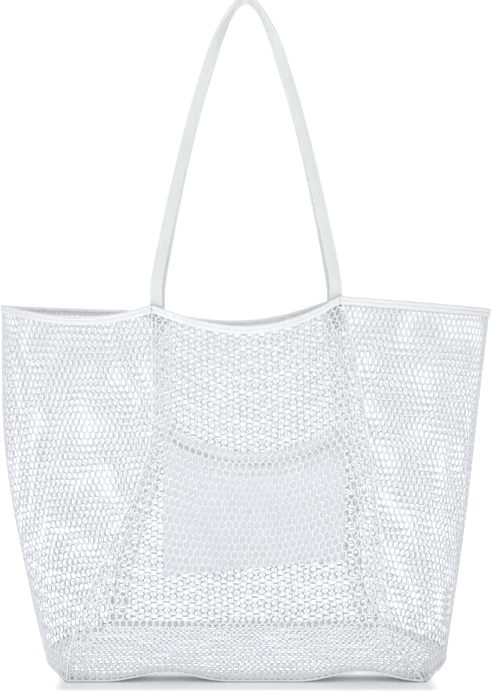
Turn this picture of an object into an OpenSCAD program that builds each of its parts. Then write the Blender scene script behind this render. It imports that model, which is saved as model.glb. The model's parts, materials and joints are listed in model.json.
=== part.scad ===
// Open-net beach tote bag: five net panels sewn edge to edge, bound seams and a bound rim,
// two strap handles and a zipped inner pocket on the back panel.
// +Z is up, the front faces -Y, and the origin is on the floor under the middle of the bag.

/* [Bag] */
// Height of the rim above the floor where the handles are sewn on
rim_h = 351; // [280:1:430]
// Width of the open mouth between its two side folds
mouth_w = 490; // [400:1:600]
// Distance between the front and the back panel
bag_d = 184; // [150:1:230]
// Width of the front panel at the rim
front_top_w = 172; // [140:1:210]
// Width of the back panel at the rim, which is drawn wider open
back_top_w = 196; // [150:1:230]
// Width of the front panel at the floor
front_base_w = 330; // [260:1:400]
// Width of the back panel at the floor
back_base_w = 298; // [240:1:380]
// Width across the base between the outermost points of its two sides
base_w = 398; // [330:1:480]
// How far the front panel's rim hangs below its two ends
front_sag = 23; // [5:1:40]
// How far the back panel's rim hangs below its two ends
back_sag = 17; // [5:1:40]
// How far the front and back panels belly out at mid height
belly = 6; // [0:0.5:10]

/* [Net and tapes] */
// Thickness of the knitted net
net_t = 1.6; // [1:0.1:2.4]
// Clearance between pieces that lie against each other
gap = 0.3; // [0.2:0.05:0.6]
// Height of the folded binding along the rim
binding_h = 8; // [6:0.5:14]
// Thickness of the folded binding along the rim
binding_t = 3.2; // [2.4:0.1:5]
// Width of the tape that covers each seam on the inside
tape_w = 14; // [8:0.5:20]
// Thickness of the seam tape
tape_t = 1; // [0.6:0.1:1.6]

/* [Handles] */
// Width of the flat strap
strap_w = 11; // [8:0.5:18]
// Thickness of the flat strap
strap_t = 5; // [3:0.5:7]
// Height of each handle's top above the line where it bends
handle_rise = 281; // [200:1:380]
// Length of each strap end that is sewn inside the rim
strap_sewn = 26; // [16:1:40]
// Height above the rim up to which the sewn strap ends stand stiff
strap_stub = 13; // [10:0.5:18]

/* [Pocket] */
// Width of the inner pocket
pocket_w = 200; // [150:1:210]
// Sideways offset of the pocket from the middle of the bag
pocket_x = 9; // [-10:1:15]
// Height of the lowest point of the pocket's sagging top edge
pocket_top_z = 190; // [160:1:200]
// Height of the pocket's lower edge at its left end
pocket_low_z = 54; // [30:1:70]
// How much higher the lower edge is at its right end
pocket_slant = 18; // [0:1:24]
// Radius of the arc that the pocket's top edge and its zip follow
pocket_arc = 150; // [135:1:220]
// Depth of the pouch between its two fabric layers
pocket_d = 5; // [4:0.5:9]
// Thickness of the pocket fabric
cloth_t = 0.8; // [0.6:0.1:1.2]

/* [Zip] */
// Width of each zip tape
zip_tape_w = 10; // [8:0.5:12]
// Width of the closed row of coil teeth
coil_w = 4.4; // [3.6:0.2:6]
// Thickness of the coil teeth
coil_t = 2.6; // [2:0.1:3.4]
// Half of the angle that the zip spans along its arc, in degrees
zip_half = 35; // [25:1:36]
// Length of the zip's slider
slider_l = 10; // [8:0.5:14]
// Clearance between the slider and the teeth
slide_gap = 0.4; // [0.3:0.05:0.6]
// Length of the pull tab below its eye
tab_l = 20; // [14:1:30]

/* [Hidden] */

NET = "white";
TAPE = "whitesmoke";
CLOTH = "snow";
$fn = 48;

// Wall numbers used by the functions below
FRONT = 0;
BACK = 1;
LEFT = 2;
RIGHT = 3;

// How far each rim corner stands above rim_h: front left, front right, back left, back right
corner_rise = [-4, 4, -6, 8];
// How far the rim lifts or dips half way along each side
left_lift = 3;
right_dip = 12;
// Extra hang of the rim on the front half of the left side, deepest close to the front
left_sag = 12;
// Share of the height at which the left seams stop flaring
left_flare = 0.71;
// Share of the right seams' flare that is a kick near the floor, and the height share it takes
right_kick = 0.34;
right_kick_top = 0.17;
// How strongly the sides round off between the panels at the rim, from 0 for an arc to 1
side_round = 0.75;

base_t = net_t;
wall_z = base_t + gap;
tape_in = net_t + gap;
seam_tape_z = wall_z + tape_t + gap;
tape_inset = net_t + 2*gap + tape_t;

function mix(a, b, k) = a + (b - a)*k;
function top_w(wall) = wall == FRONT ? front_top_w : back_top_w;
function unit(v) = v / norm(v);
function ease(k) = let (c = min(1, max(0, k))) c*c*(3 - 2*c);

// Share of the flare between rim and floor that a seam has at height share k
function left_flare_at(k) = 1 - ease(k/left_flare);
function right_flare_at(k) = right_kick*pow(max(0, 1 - k/right_kick_top), 2)
    + (1 - right_kick)*pow(max(0, 1 - k), 0.65);

// Distance of a corner seam from the middle plane
function seam_half(side, wall, k) =
    mix(top_w(wall), wall == FRONT ? front_base_w : back_base_w,
        side == LEFT ? left_flare_at(k) : right_flare_at(k))/2;

// Distance of a side's outermost line from the middle plane
function fold_half(side, k) = let (c = min(1, max(0, k)))
    mix(base_w, mouth_w, side == LEFT ? 1 - pow(1 - c, 2.5) : pow(c, 0.75))/2;

function panel_at(wall, u, z) = let (k = z/rim_h)
    [mix(-seam_half(LEFT, wall, k), seam_half(RIGHT, wall, k), u),
     (wall == FRONT ? -1 : 1)*(bag_d/2 + belly*sin(180*u)*sin(180*min(1, k))),
     z];

function gusset_at(side, u, z) = let (
        k = min(1, z/rim_h),
        a = seam_half(side, FRONT, k),
        b = seam_half(side, BACK, k),
        bow = fold_half(side, k) - (a + b)/2)
    [(side == LEFT ? -1 : 1)*(mix(a, b, u) + bow*sin(180*u)),
     -bag_d/2*mix(1 - 2*u, cos(180*u), side_round*k),
     z];

// Point of a wall's outer face, u from 0 to 1 across it and z above the floor
function wall_at(wall, u, z) = wall < LEFT ? panel_at(wall, u, z) : gusset_at(wall, u, z);

// The walls whose across and up directions give an outward normal
function faces_out(wall) = wall == FRONT || wall == RIGHT;

// Direction out of a wall
function normal_at(wall, u, z) = let (
        across = wall_at(wall, u + 0.002, z) - wall_at(wall, u - 0.002, z),
        up = wall_at(wall, u, z + 0.5) - wall_at(wall, u, z - 0.5))
    unit(cross(across, up))*(faces_out(wall) ? 1 : -1);

// A wall's point moved by d into the bag, no lower than the top of the base
function inside_at(wall, u, z, d) = let (p = wall_at(wall, u, z) - d*normal_at(wall, u, z))
    [p[0], p[1], max(p[2], wall_z)];

// The same point moved level, until it lies d behind the wall's face
function level_inside_at(wall, u, z, d) = let (
        n = normal_at(wall, u, z),
        p = wall_at(wall, u, z),
        level = n[0]*n[0] + n[1]*n[1])
    [p[0] - d*n[0]/level, p[1] - d*n[1]/level];

// Height of the rim along a wall
function rim_at(wall, u) = rim_h
    + (wall == FRONT ? mix(corner_rise[0], corner_rise[1], u) - front_sag*sin(180*u)
    : wall == BACK ? mix(corner_rise[2], corner_rise[3], u) - back_sag*sin(180*u)
    : wall == LEFT ? mix(corner_rise[0], corner_rise[2], u) + left_lift*sin(180*u)
        - left_sag*sin(180*(1 - pow(max(0, 1 - 2*u), 2)))
    : mix(corner_rise[1], corner_rise[3], u) - right_dip*sin(180*u));

// Two triangles for the four corners of a facet
function quad(a, b, c, d) = [[a, b, c], [a, c, d]];
function turned(faces) = [for (f = faces) [f[2], f[1], f[0]]];

// A sheet between the depths d0 and d1 inside a wall. place(a, b) gives [u, z] on the wall
module wall_sheet(wall, place, d0, d1, nu, nz) {
    points = [for (d = [d0, d1], j = [0:nz], i = [0:nu])
        let (p = place(i/nu, j/nz)) inside_at(wall, p[0], p[1], d)];
    at = function (layer, i, j) (layer*(nz + 1) + j)*(nu + 1) + i;
    skins = [for (j = [0:nz - 1], i = [0:nu - 1]) each concat(
        quad(at(0, i, j), at(0, i, j + 1), at(0, i + 1, j + 1), at(0, i + 1, j)),
        quad(at(1, i, j), at(1, i + 1, j), at(1, i + 1, j + 1), at(1, i, j + 1)))];
    ends = [for (i = [0:nu - 1]) each concat(
        quad(at(0, i, 0), at(0, i + 1, 0), at(1, i + 1, 0), at(1, i, 0)),
        quad(at(0, i + 1, nz), at(0, i, nz), at(1, i, nz), at(1, i + 1, nz)))];
    sides = [for (j = [0:nz - 1]) each concat(
        quad(at(0, 0, j + 1), at(0, 0, j), at(1, 0, j), at(1, 0, j + 1)),
        quad(at(0, nu, j), at(0, nu, j + 1), at(1, nu, j + 1), at(1, nu, j)))];
    faces = concat(skins, ends, sides);
    polyhedron(points, faces_out(wall) ? faces : turned(faces));
}

// A closed tube through rings of equal length
module tube(rings) {
    n = len(rings[0]);
    last = len(rings) - 1;
    walls = [for (k = [0:last - 1], i = [0:n - 1]) each
        quad(k*n + i, (k + 1)*n + i, (k + 1)*n + (i + 1)%n, k*n + (i + 1)%n)];
    caps = [for (i = [1:n - 2]) each [[0, i, i + 1], [last*n, last*n + i + 1, last*n + i]]];
    polyhedron([for (r = rings) each r], concat(walls, caps));
}

// Net from the floor to the rim binding, held clear of its neighbours at both ends
module net_wall(wall, nu, nz) {
    edge = (wall < LEFT ? gap : net_t + gap)/(wall < LEFT ? top_w(wall) : bag_d);
    place = function (a, b) let (u = mix(edge, 1 - edge, a))
        [u, mix(wall_z, rim_at(wall, u) - binding_h - gap, b)];
    color(NET) wall_sheet(wall, place, 0, net_t, nu, nz);
}

// Folded tape over the top edge of a wall
module rim_binding(wall, nu) {
    edge = (wall < LEFT ? gap : binding_t + gap)/(wall < LEFT ? top_w(wall) : bag_d);
    over = (binding_t - net_t)/2;
    place = function (a, b) let (u = mix(edge, 1 - edge, a))
        [u, rim_at(wall, u) - binding_h*(1 - b)];
    color(TAPE) wall_sheet(wall, place, -over, net_t + over, nu, 1);
}

// Tape over the inside of a corner seam, lying on the front or back panel
module seam_tape(wall, side) {
    // The tape ends under the rim binding, which is lowest over the tape's inner edge
    inner = (tape_inset + tape_w)/top_w(wall);
    top = rim_at(wall, side == LEFT ? inner : 1 - inner) - binding_h - gap;
    place = function (a, b) let (
            z = mix(seam_tape_z, top, b),
            w = seam_half(LEFT, wall, z/rim_h) + seam_half(RIGHT, wall, z/rim_h),
            from = tape_inset/w,
            to = (tape_inset + tape_w)/w)
        [side == LEFT ? mix(from, to, a) : mix(1 - to, 1 - from, a), z];
    color(TAPE) wall_sheet(wall, place, tape_in, tape_in + tape_t, 1, 14);
}

// Tape on top of the base along one of its edges
module base_tape(wall, steps) {
    span = wall < LEFT ? seam_half(LEFT, wall, 0) + seam_half(RIGHT, wall, 0) : bag_d;
    clear = tape_inset + (wall < LEFT ? 0 : tape_w);
    edge = function (d) [for (i = [0:steps])
        level_inside_at(wall, mix(clear/span, 1 - clear/span, i/steps), seam_tape_z, d)];
    outer = edge(tape_in + gap);
    inner = edge(tape_in + gap + tape_w);
    color(TAPE) translate([0, 0, wall_z]) linear_extrude(tape_t)
        polygon(concat(outer, [for (i = [steps:-1:0]) inner[i]]));
}

module base_panel() {
    steps = 12;
    along = function (wall, back) [for (i = [0:steps - 1])
        let (k = i/steps, p = wall_at(wall, back ? 1 - k : k, 0)) [p[0], p[1]]];
    outline = concat(along(FRONT, false), along(RIGHT, false), along(BACK, true), along(LEFT, true));
    color(NET) linear_extrude(base_t) polygon(outline);
}

// Strap handle: a pointed arch that leans towards the middle, its strap turned edge-on at the top
// The outer edge of each strap reaches this far past its panel's corner
strap_over = 2;
strap_in = tape_in + tape_t + gap;
strap_y = bag_d/2 - strap_in - strap_t/2;
// The strap starts this far past its bend line
strap_start = strap_t/2 + 0.7;
// The bend line stands this far above the sewn strap end, so that the strap can fold outward
bend_room = strap_t/2 + 2.9;
hinge_z = rim_h + strap_stub + bend_room;
top_gap = 1;
lean_y = strap_y - strap_w/2 - top_gap/2;
handle_reach = norm([handle_rise, lean_y]);
arch_blunt = 0.08;

function arch_drop(s) = pow(s*s + arch_blunt*arch_blunt, 5/6) - pow(arch_blunt, 5/3);
function strap_x(wall) = (top_w(wall) - strap_w)/2 + strap_over;
function arch_at(wall, s) = [strap_x(wall)*s, handle_reach*(1 - arch_drop(s)/arch_drop(1))];
function strap_turn(s) = 90*(1 - ease((abs(s) - 0.12)/0.4));
function strap_ring(wall, s) = let (
        p = arch_at(wall, s),
        t = unit(arch_at(wall, s + 0.01) - arch_at(wall, s - 0.01)),
        side = [-t[1], t[0]],
        turn = strap_turn(s),
        outline = [[1, 0.5], [0.8, 1], [-0.8, 1], [-1, 0.5], [-1, -0.5], [-0.8, -1], [0.8, -1], [1, -0.5]])
    [for (q = outline) let (
            a = q[0]*strap_w/2,
            b = q[1]*strap_t/2,
            flat = a*cos(turn) - b*sin(turn),
            proud = a*sin(turn) + b*cos(turn))
        [p[0] + side[0]*flat, proud, p[1] + side[1]*flat]];

module handle(wall) {
    steps = 40;
    first = 1 - strap_start/handle_reach;
    spaced = function (a) sign(a)*pow(abs(a), 1.25);
    rings = [for (i = [0:steps]) strap_ring(wall, first*spaced(2*i/steps - 1))];
    lean = atan2(lean_y, handle_rise);
    color(TAPE) mirror([0, wall == FRONT ? 0 : 1, 0])
        translate([0, -strap_y, hinge_z]) rotate([-lean, 0, 0]) tube(rings);
}

// Doubled strap end sewn inside the rim and standing a little above it
module strap_end(wall, side) {
    y = (wall == FRONT ? -1 : 1)*strap_y;
    x = (side == LEFT ? -1 : 1)*strap_x(wall);
    color(TAPE) translate([x, y, rim_h + strap_stub - (strap_sewn + strap_stub)/2])
        cube([strap_w, strap_t, strap_sewn + strap_stub], center = true);
}

// Pocket stack, measured from the back panel's inner side towards the front
pocket_back_y = bag_d/2 - tape_in - tape_t - gap - cloth_t;
pocket_front_y = pocket_back_y - pocket_d - cloth_t;
arc_z = pocket_top_z + pocket_arc;
zip_r = pocket_arc + zip_tape_w + gap + coil_w/2;
lower_r = zip_r + coil_w/2 + gap;
pocket_left = pocket_x - pocket_w/2;
pocket_right = pocket_x + pocket_w/2;
// Half of the angle that the pocket's top edge spans
pocket_half = asin(pocket_w/2/pocket_arc);

// Part of a ring about the zip's centre, between two radii, from y to y + t
module arc_band(r0, r1, from, to, y, t) {
    translate([pocket_x, y, arc_z]) rotate([90, 0, 0]) rotate([0, 0, -90 + from])
        translate([0, 0, -t]) rotate_extrude(angle = to - from) translate([r0, 0]) square([r1 - r0, t]);
}

// Pocket outline below the arc of radius r, inset by d from its sides and lower edge
module pocket_outline(r, d) {
    difference() {
        polygon([[pocket_left + d, pocket_low_z + d], [pocket_right - d, pocket_low_z + pocket_slant + d],
            [pocket_right - d, arc_z], [pocket_left + d, arc_z]]);
        translate([pocket_x, arc_z]) circle(r = r, $fn = 96);
    }
}

module pocket_slab(r, d, y, t) {
    translate([0, y + t, 0]) rotate([90, 0, 0]) linear_extrude(t) difference() {
        pocket_outline(r, d);
        translate([pocket_left - 1, arc_z - pocket_arc*cos(pocket_half)])
            square([pocket_w + 2, pocket_arc]);
    }
}

module pocket_back() {
    color(CLOTH) union() {
        pocket_slab(pocket_arc, 0, pocket_back_y, cloth_t);
        arc_band(pocket_arc, pocket_arc + cloth_t, -zip_half, zip_half,
            pocket_front_y + cloth_t + gap, pocket_back_y - pocket_front_y - cloth_t);
    }
}

// Front layer with its turned-in sides, which are sewn to the back layer
module pocket_front() {
    color(CLOTH) difference() {
        pocket_slab(lower_r + zip_tape_w + gap, 0, pocket_front_y, pocket_d + cloth_t - gap);
        pocket_slab(lower_r, cloth_t, pocket_front_y + cloth_t, pocket_d + cloth_t);
    }
}

module zip_upper_tape() {
    color(CLOTH) arc_band(pocket_arc, pocket_arc + zip_tape_w, -zip_half, zip_half, pocket_front_y, cloth_t);
}
module zip_lower_tape() {
    color(CLOTH) arc_band(lower_r, lower_r + zip_tape_w, -zip_half, zip_half, pocket_front_y, cloth_t);
}

coil_y = pocket_front_y + cloth_t - coil_t;
stop_deg = 1.6;
module zip_coil() {
    color(TAPE) arc_band(zip_r - coil_w/2, zip_r + coil_w/2, stop_deg - zip_half, zip_half - stop_deg,
        coil_y, coil_t);
}
module zip_stops() {
    // The stops stay a little short of the teeth
    clear = 0.15;
    color(TAPE) for (side = [-1, 1])
        arc_band(zip_r - coil_w/2, zip_r + coil_w/2,
            side < 0 ? -zip_half : zip_half - stop_deg + clear,
            side < 0 ? stop_deg - zip_half - clear : zip_half, coil_y, coil_t);
}

// Slider at the right end of the zip, which is shut. Its channel runs along the teeth
slider_wall = 1;
slider_half = coil_w/2 + slide_gap + slider_wall;
slider_y = coil_y - slide_gap - slider_wall;
slider_d = slide_gap + slider_wall + coil_t - cloth_t - slide_gap;
slider_deg = zip_half - stop_deg - asin(slider_l/2/zip_r) - gap;
pin_r = 0.6;
// Distance from the slider's face to the middle of its pin
pin_stand = 2.4;
pin_y = slider_y - pin_stand;
post_w = 1;
post_h = 2.8;
post_wall = 0.4;
post_gap = 3.4;

// Places a child drawn about the origin on the zip's centre line, x along the teeth
module on_zip() {
    translate([pocket_x, 0, arc_z]) rotate([0, -slider_deg, 0]) translate([0, 0, -zip_r]) children();
}

module zip_slider() {
    color("gainsboro") on_zip() union() {
        difference() {
            translate([-slider_l/2, slider_y, -slider_half]) cube([slider_l, slider_d, 2*slider_half]);
            translate([-slider_l, slider_y + slider_wall, -coil_w/2 - slide_gap])
                cube([2*slider_l, slider_d, coil_w + 2*slide_gap]);
        }
        for (side = [-1, 1])
            translate([side*(post_gap + post_w)/2 - post_w/2, pin_y - pin_r - post_wall, -post_h/2])
                cube([post_w, pin_stand + pin_r + 1.5*post_wall, post_h]);
        translate([-post_gap/2 - post_w/2, pin_y, 0]) rotate([0, 90, 0])
            cylinder(r = pin_r, h = post_gap + post_w);
    }
}

// Pull tab hanging from the slider's pin
eye_r = 1.5;
eye_w = post_gap - 2*gap;
tab_w = 6;
tab_t = 1.2;
pin_clear = 0.08;
module zip_puller() {
    tab_y = pin_y - tab_t/2 - gap;
    color("gainsboro") on_zip() difference() {
        union() {
            translate([-eye_w/2, pin_y, 0]) rotate([0, 90, 0]) cylinder(r = eye_r, h = eye_w);
            translate([-eye_w/2, tab_y, -slider_half - slider_wall])
                cube([eye_w, tab_t, slider_half + slider_wall]);
            translate([-tab_w/2, tab_y, -slider_half - tab_l]) cube([tab_w, tab_t, tab_l - slider_wall/2]);
        }
        translate([-eye_w, pin_y, 0]) rotate([0, 90, 0]) cylinder(r = pin_r + pin_clear, h = 2*eye_w);
    }
}

net_wall(FRONT, 10, 12);  // front_panel
net_wall(BACK, 10, 12);  // back_panel
net_wall(LEFT, 18, 12);  // left_gusset
net_wall(RIGHT, 18, 12);  // right_gusset
base_panel();
rim_binding(FRONT, 10);  // front_rim_binding
rim_binding(BACK, 10);  // back_rim_binding
rim_binding(LEFT, 18);  // left_rim_binding
rim_binding(RIGHT, 18);  // right_rim_binding
seam_tape(FRONT, LEFT);  // front_left_seam_tape
seam_tape(FRONT, RIGHT);  // front_right_seam_tape
seam_tape(BACK, LEFT);  // back_left_seam_tape
seam_tape(BACK, RIGHT);  // back_right_seam_tape
base_tape(FRONT, 1);  // front_base_tape
base_tape(BACK, 1);  // back_base_tape
base_tape(LEFT, 8);  // left_base_tape
base_tape(RIGHT, 8);  // right_base_tape
handle(FRONT);  // front_handle
handle(BACK);  // back_handle
strap_end(FRONT, LEFT);  // front_left_strap_end
strap_end(FRONT, RIGHT);  // front_right_strap_end
strap_end(BACK, LEFT);  // back_left_strap_end
strap_end(BACK, RIGHT);  // back_right_strap_end
pocket_back();
pocket_front();
zip_upper_tape();
zip_lower_tape();
zip_coil();
zip_stops();
zip_slider();
zip_puller();
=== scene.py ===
import json
import math

import bpy
import numpy as np
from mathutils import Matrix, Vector


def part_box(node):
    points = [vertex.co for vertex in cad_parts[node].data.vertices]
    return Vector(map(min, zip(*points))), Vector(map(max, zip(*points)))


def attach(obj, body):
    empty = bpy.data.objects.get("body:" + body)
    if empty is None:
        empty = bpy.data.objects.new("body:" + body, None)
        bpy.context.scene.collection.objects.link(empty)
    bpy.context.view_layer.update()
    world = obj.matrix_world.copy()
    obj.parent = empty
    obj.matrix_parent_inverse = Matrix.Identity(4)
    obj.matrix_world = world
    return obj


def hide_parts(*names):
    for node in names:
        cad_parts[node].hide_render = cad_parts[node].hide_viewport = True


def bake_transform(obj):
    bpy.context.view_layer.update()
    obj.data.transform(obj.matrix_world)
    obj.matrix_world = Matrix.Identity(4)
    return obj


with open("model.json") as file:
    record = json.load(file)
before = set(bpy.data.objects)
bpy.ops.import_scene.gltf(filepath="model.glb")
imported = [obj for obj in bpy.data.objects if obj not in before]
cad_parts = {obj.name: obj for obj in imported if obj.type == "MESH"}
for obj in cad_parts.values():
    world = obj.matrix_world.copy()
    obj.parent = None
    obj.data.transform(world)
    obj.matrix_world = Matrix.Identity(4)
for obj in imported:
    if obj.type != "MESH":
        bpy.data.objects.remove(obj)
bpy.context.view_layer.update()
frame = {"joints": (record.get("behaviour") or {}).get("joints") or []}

MM = 0.001

# ---- Camera and studio ----
# A 51 mm lens at mid-bag height looks straight at the front panel. The room is an even white tent
# with soft lamps overhead, at the upper left and low in front, so white cloth reads by its shading.
base_lo, base_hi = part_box("base_panel")
camera_away, camera_z, camera_dip = 0.90, 0.324, math.radians(1.02)
camera_data = bpy.data.cameras.new("camera")
camera_data.lens = 51
camera_data.sensor_width = 36
camera = bpy.data.objects.new("camera", camera_data)
bpy.context.scene.collection.objects.link(camera)
camera.location = (0, base_lo.y - camera_away, camera_z)
camera.rotation_euler = (math.radians(90) - camera_dip, 0, 0)
bpy.context.scene.camera = camera
bpy.context.scene.view_settings.view_transform = "Standard"


def srgb(code):
    """An sRGB hex colour as the linear colour that a shader takes."""
    parts = [int(code[i:i + 2], 16) / 255 for i in (1, 3, 5)]
    return [p / 12.92 if p <= 0.04045 else ((p + 0.055) / 1.055) ** 2.4 for p in parts] + [1]


def add_node(tree, kind, inputs=(), **settings):
    """Adds a node. inputs maps a socket to a value, or to (node, output) for a link."""
    made = tree.nodes.new(kind)
    for key, value in settings.items():
        setattr(made, key, value)
    for key, value in dict(inputs).items():
        if isinstance(value, tuple) and isinstance(value[0], bpy.types.Node):
            tree.links.new(value[0].outputs[value[1]], made.inputs[key])
        else:
            made.inputs[key].default_value = value
    return made


def new_material(name):
    """An empty node material and its tree."""
    made = bpy.data.materials.new(name)
    made.use_nodes = True
    made.node_tree.nodes.clear()
    return made, made.node_tree


def new_lamp(name, size, power, place, aim):
    """A soft square lamp at a place, turned to face a point."""
    data = bpy.data.lights.new(name, "AREA")
    data.size, data.energy = size, power
    lamp = bpy.data.objects.new(name, data)
    bpy.context.scene.collection.objects.link(lamp)
    lamp.location = place
    lamp.rotation_euler = (Vector(aim) - Vector(place)).to_track_quat("-Z", "Y").to_euler()


tent = bpy.data.worlds.new("white_tent")
tent.use_nodes = True
tree = tent.node_tree
tree.nodes.clear()
seen = add_node(tree, "ShaderNodeLightPath")
power = add_node(tree, "ShaderNodeMapRange", {
    "Value": (seen, "Is Camera Ray"), "To Min": 0.60, "To Max": 1.02})
sky = add_node(tree, "ShaderNodeBackground", {"Color": (1, 1, 1, 1), "Strength": (power, 0)})
add_node(tree, "ShaderNodeOutputWorld", {"Surface": (sky, 0)})
bpy.context.scene.world = tent
new_lamp("overhead", 0.7, 5, (0, 0.30, 1.8), (0, 0, 0))
new_lamp("key", 0.8, 6, (-0.35, -0.85, 1.6), (0, 0.05, 0.15))
new_lamp("low_fill", 0.3, 1.0, (0, -0.74, 0.03), (0, 0, 0.08))


def clear_selection():
    """Leaves edit mode with nothing selected."""
    if bpy.context.object and bpy.context.object.mode != "OBJECT":
        bpy.ops.object.mode_set(mode="OBJECT")
    bpy.ops.object.select_all(action="DESELECT")


# Seamless paper floor: matte, and glowing by itself away from the bag's foot. The glow is painted light with
# no lamp in it. Near the foot the glow fades out, which leaves a painted shadow there, so that only the
# shadow right at the foot shows on it. The glow starts a little inside the base's ends and in front of it.
glow_from = (base_hi.x - 34 * MM, 13 * MM, 0)
glow_fade = 20 * MM
clear_selection()
bpy.ops.mesh.primitive_plane_add(size=14, location=(0, 0, -0.0002))
floor = bpy.context.object
floor.name = "floor"
bpy.ops.object.transform_apply(location=True, rotation=True, scale=True)
paper, tree = new_material("seamless_paper")
coords = add_node(tree, "ShaderNodeTexCoord")
from_foot = add_node(tree, "ShaderNodeVectorMath", {0: (coords, "Object"), 1: (0, -base_lo.y, 0)})
mirrored = add_node(tree, "ShaderNodeVectorMath", {0: (from_foot, 0)}, operation="ABSOLUTE")
past_foot = add_node(tree, "ShaderNodeVectorMath", {0: (mirrored, 0), 1: glow_from}, operation="SUBTRACT")
outside = add_node(tree, "ShaderNodeVectorMath", {0: (past_foot, 0), 1: (0, 0, 0)}, operation="MAXIMUM")
away = add_node(tree, "ShaderNodeVectorMath", {0: (outside, 0)}, operation="LENGTH")
# Painted light and painted shadow: the paper's own glow is 0 round the foot and rises to full over glow_fade.
glow = add_node(tree, "ShaderNodeMapRange", {
    "Value": (away, "Value"), "From Max": glow_fade, "To Max": 0.55}, interpolation_type="SMOOTHSTEP")
shader = add_node(tree, "ShaderNodeBsdfPrincipled", {
    "Base Color": srgb("#F4F4F4"), "Roughness": 0.9, "Emission Color": (1, 1, 1, 1),
    "Emission Strength": (glow, 0), "Specular IOR Level": 0.1})
add_node(tree, "ShaderNodeOutputMaterial", {"Surface": (shader, 0)})
floor.data.materials.append(paper)

# ---- The sewn shape ----
# Four walls of net meet at the corner seams. The front and back are trapezoids, wide at the floor;
# the sides are wide at the mouth and bow outward. Every sewn piece below takes its place from here.
FRONT, BACK, LEFT, RIGHT = range(4)
fold_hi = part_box("right_rim_binding")[1]
half_depth = base_hi.y
base_half = base_hi.x
mouth_half = fold_hi.x
binding_h = 8 * MM
rim_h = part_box("front_left_strap_end")[1].z - 13 * MM
strap_w, strap_t = 11 * MM, 5 * MM
strap_over = 2 * MM
strap_x = {w: -sum(c.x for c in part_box(n)) / 2
           for w, n in ((FRONT, "front_left_strap_end"), (BACK, "back_left_strap_end"))}
panel_top = {w: 2 * (x - strap_over) + strap_w for w, x in strap_x.items()}
panel_base = {FRONT: 330 * MM, BACK: 298 * MM}
net_t = 1.6 * MM
belly = 6 * MM
corner_rise = {(FRONT, 0): -4 * MM, (FRONT, 1): 4 * MM, (BACK, 0): -6 * MM, (BACK, 1): 8 * MM}
left_flare, right_kick, right_kick_top, side_round = 0.71, 0.34, 0.17, 0.75


def mix(a, b, k):
    """The value a share k of the way from a to b."""
    return a + (b - a) * k


def ease(k):
    """A share that starts and ends gently, held between 0 and 1."""
    c = np.clip(k, 0, 1)
    return c * c * (3 - 2 * c)


def bump(x, middle, half):
    """A smooth hump, 1 at its middle and 0 outside its half width."""
    return np.cos(np.clip((x - middle) / half, -1, 1) * math.pi / 2) ** 2


def seam_half(side, wall, k):
    """Distance of a corner seam from the middle plane at height share k."""
    k = np.clip(k, 0, 1)
    if side == LEFT:
        flare = 1 - ease(k / left_flare)
    else:
        kick = np.maximum(0, 1 - k / right_kick_top) ** 2
        flare = right_kick * kick + (1 - right_kick) * (1 - k) ** 0.65
    return mix(panel_top[wall], panel_base[wall], flare) / 2


def rim_at(wall, u):
    """Height of the rim along a wall, u from 0 to 1 across it."""
    if wall in (FRONT, BACK):
        sag = (23 if wall == FRONT else 17) * MM
        return rim_h + mix(corner_rise[wall, 0], corner_rise[wall, 1], u) - sag * np.sin(math.pi * u)
    end = 0 if wall == LEFT else 1
    line = rim_h + mix(corner_rise[FRONT, end], corner_rise[BACK, end], u)
    if wall == LEFT:
        near = np.sin(math.pi * (1 - np.clip(1 - 2 * u, 0, 1) ** 2))
        return line + 3 * MM * np.sin(math.pi * u) - 12 * MM * near
    return line - 12 * MM * np.sin(math.pi * u)


def floor_lift(x, y):
    """How far the base's front edge is drawn up off the floor."""
    drawn = 8 * MM * bump(x, -72 * MM, 58 * MM) + 9 * MM * bump(x, 106 * MM, 58 * MM)
    return drawn * np.exp(-(y + half_depth) / (30 * MM))


def folds(wall, u, k):
    """How far soft folds push a wall outward."""
    if wall == FRONT:
        pull = np.sin(math.pi * u) * np.sin(math.pi * k)
        broad = 2.6 * np.sin(7.5 * u + 3.2 * k) * np.sin(math.pi * k)
        narrow = 1.6 * np.sin(15 * u - 4 * k) * k * (1 - k) * 4
        return MM * (broad + narrow) * np.sin(math.pi * u) + 1.5 * MM * pull
    if wall == BACK:
        return MM * 2.4 * np.sin(9 * u + 2 * k) * np.sin(math.pi * u) * np.sin(math.pi * k)
    side = 1 if wall == LEFT else -1
    wave = 3.2 * np.sin(11 * u + side * 2.4 * k) * np.sin(math.pi * u)
    crease = 2.2 * np.sin(21 * u - 5 * k) * np.sin(math.pi * k)
    return MM * (wave * np.sin(math.pi * np.clip(k, 0, 1)) + crease * np.sin(math.pi * u))


def wall_point(wall, u, z):
    """Points of a wall's outer face, for arrays of u and z."""
    u, z = np.broadcast_arrays(np.asarray(u, float), np.asarray(z, float))
    k = np.clip(z / rim_h, 0, 1.03)
    out = folds(wall, u, k)
    if wall in (FRONT, BACK):
        x = mix(-seam_half(LEFT, wall, k), seam_half(RIGHT, wall, k), u)
        y = half_depth + belly * np.sin(math.pi * u) * np.sin(math.pi * np.clip(k, 0, 1)) + out
        y = -y if wall == FRONT else y
        lift = floor_lift(x, y) * np.exp(-z / (34 * MM)) if wall == FRONT else 0
        return np.stack([x, y, z + lift], -1)
    a, b = seam_half(wall, FRONT, k), seam_half(wall, BACK, k)
    c = np.clip(k, 0, 1)
    fold = mix(base_half, mouth_half, 1 - (1 - c) ** 2.5 if wall == LEFT else c ** 0.75)
    x = mix(a, b, u) + (fold - (a + b) / 2) * np.sin(math.pi * u) + out
    y = -half_depth * mix(1 - 2 * u, np.cos(math.pi * u), side_round * k)
    return np.stack([-x if wall == LEFT else x, y, z], -1)


def unit(v):
    """Vectors brought to length 1."""
    return v / np.linalg.norm(v, axis=-1, keepdims=True)


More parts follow.
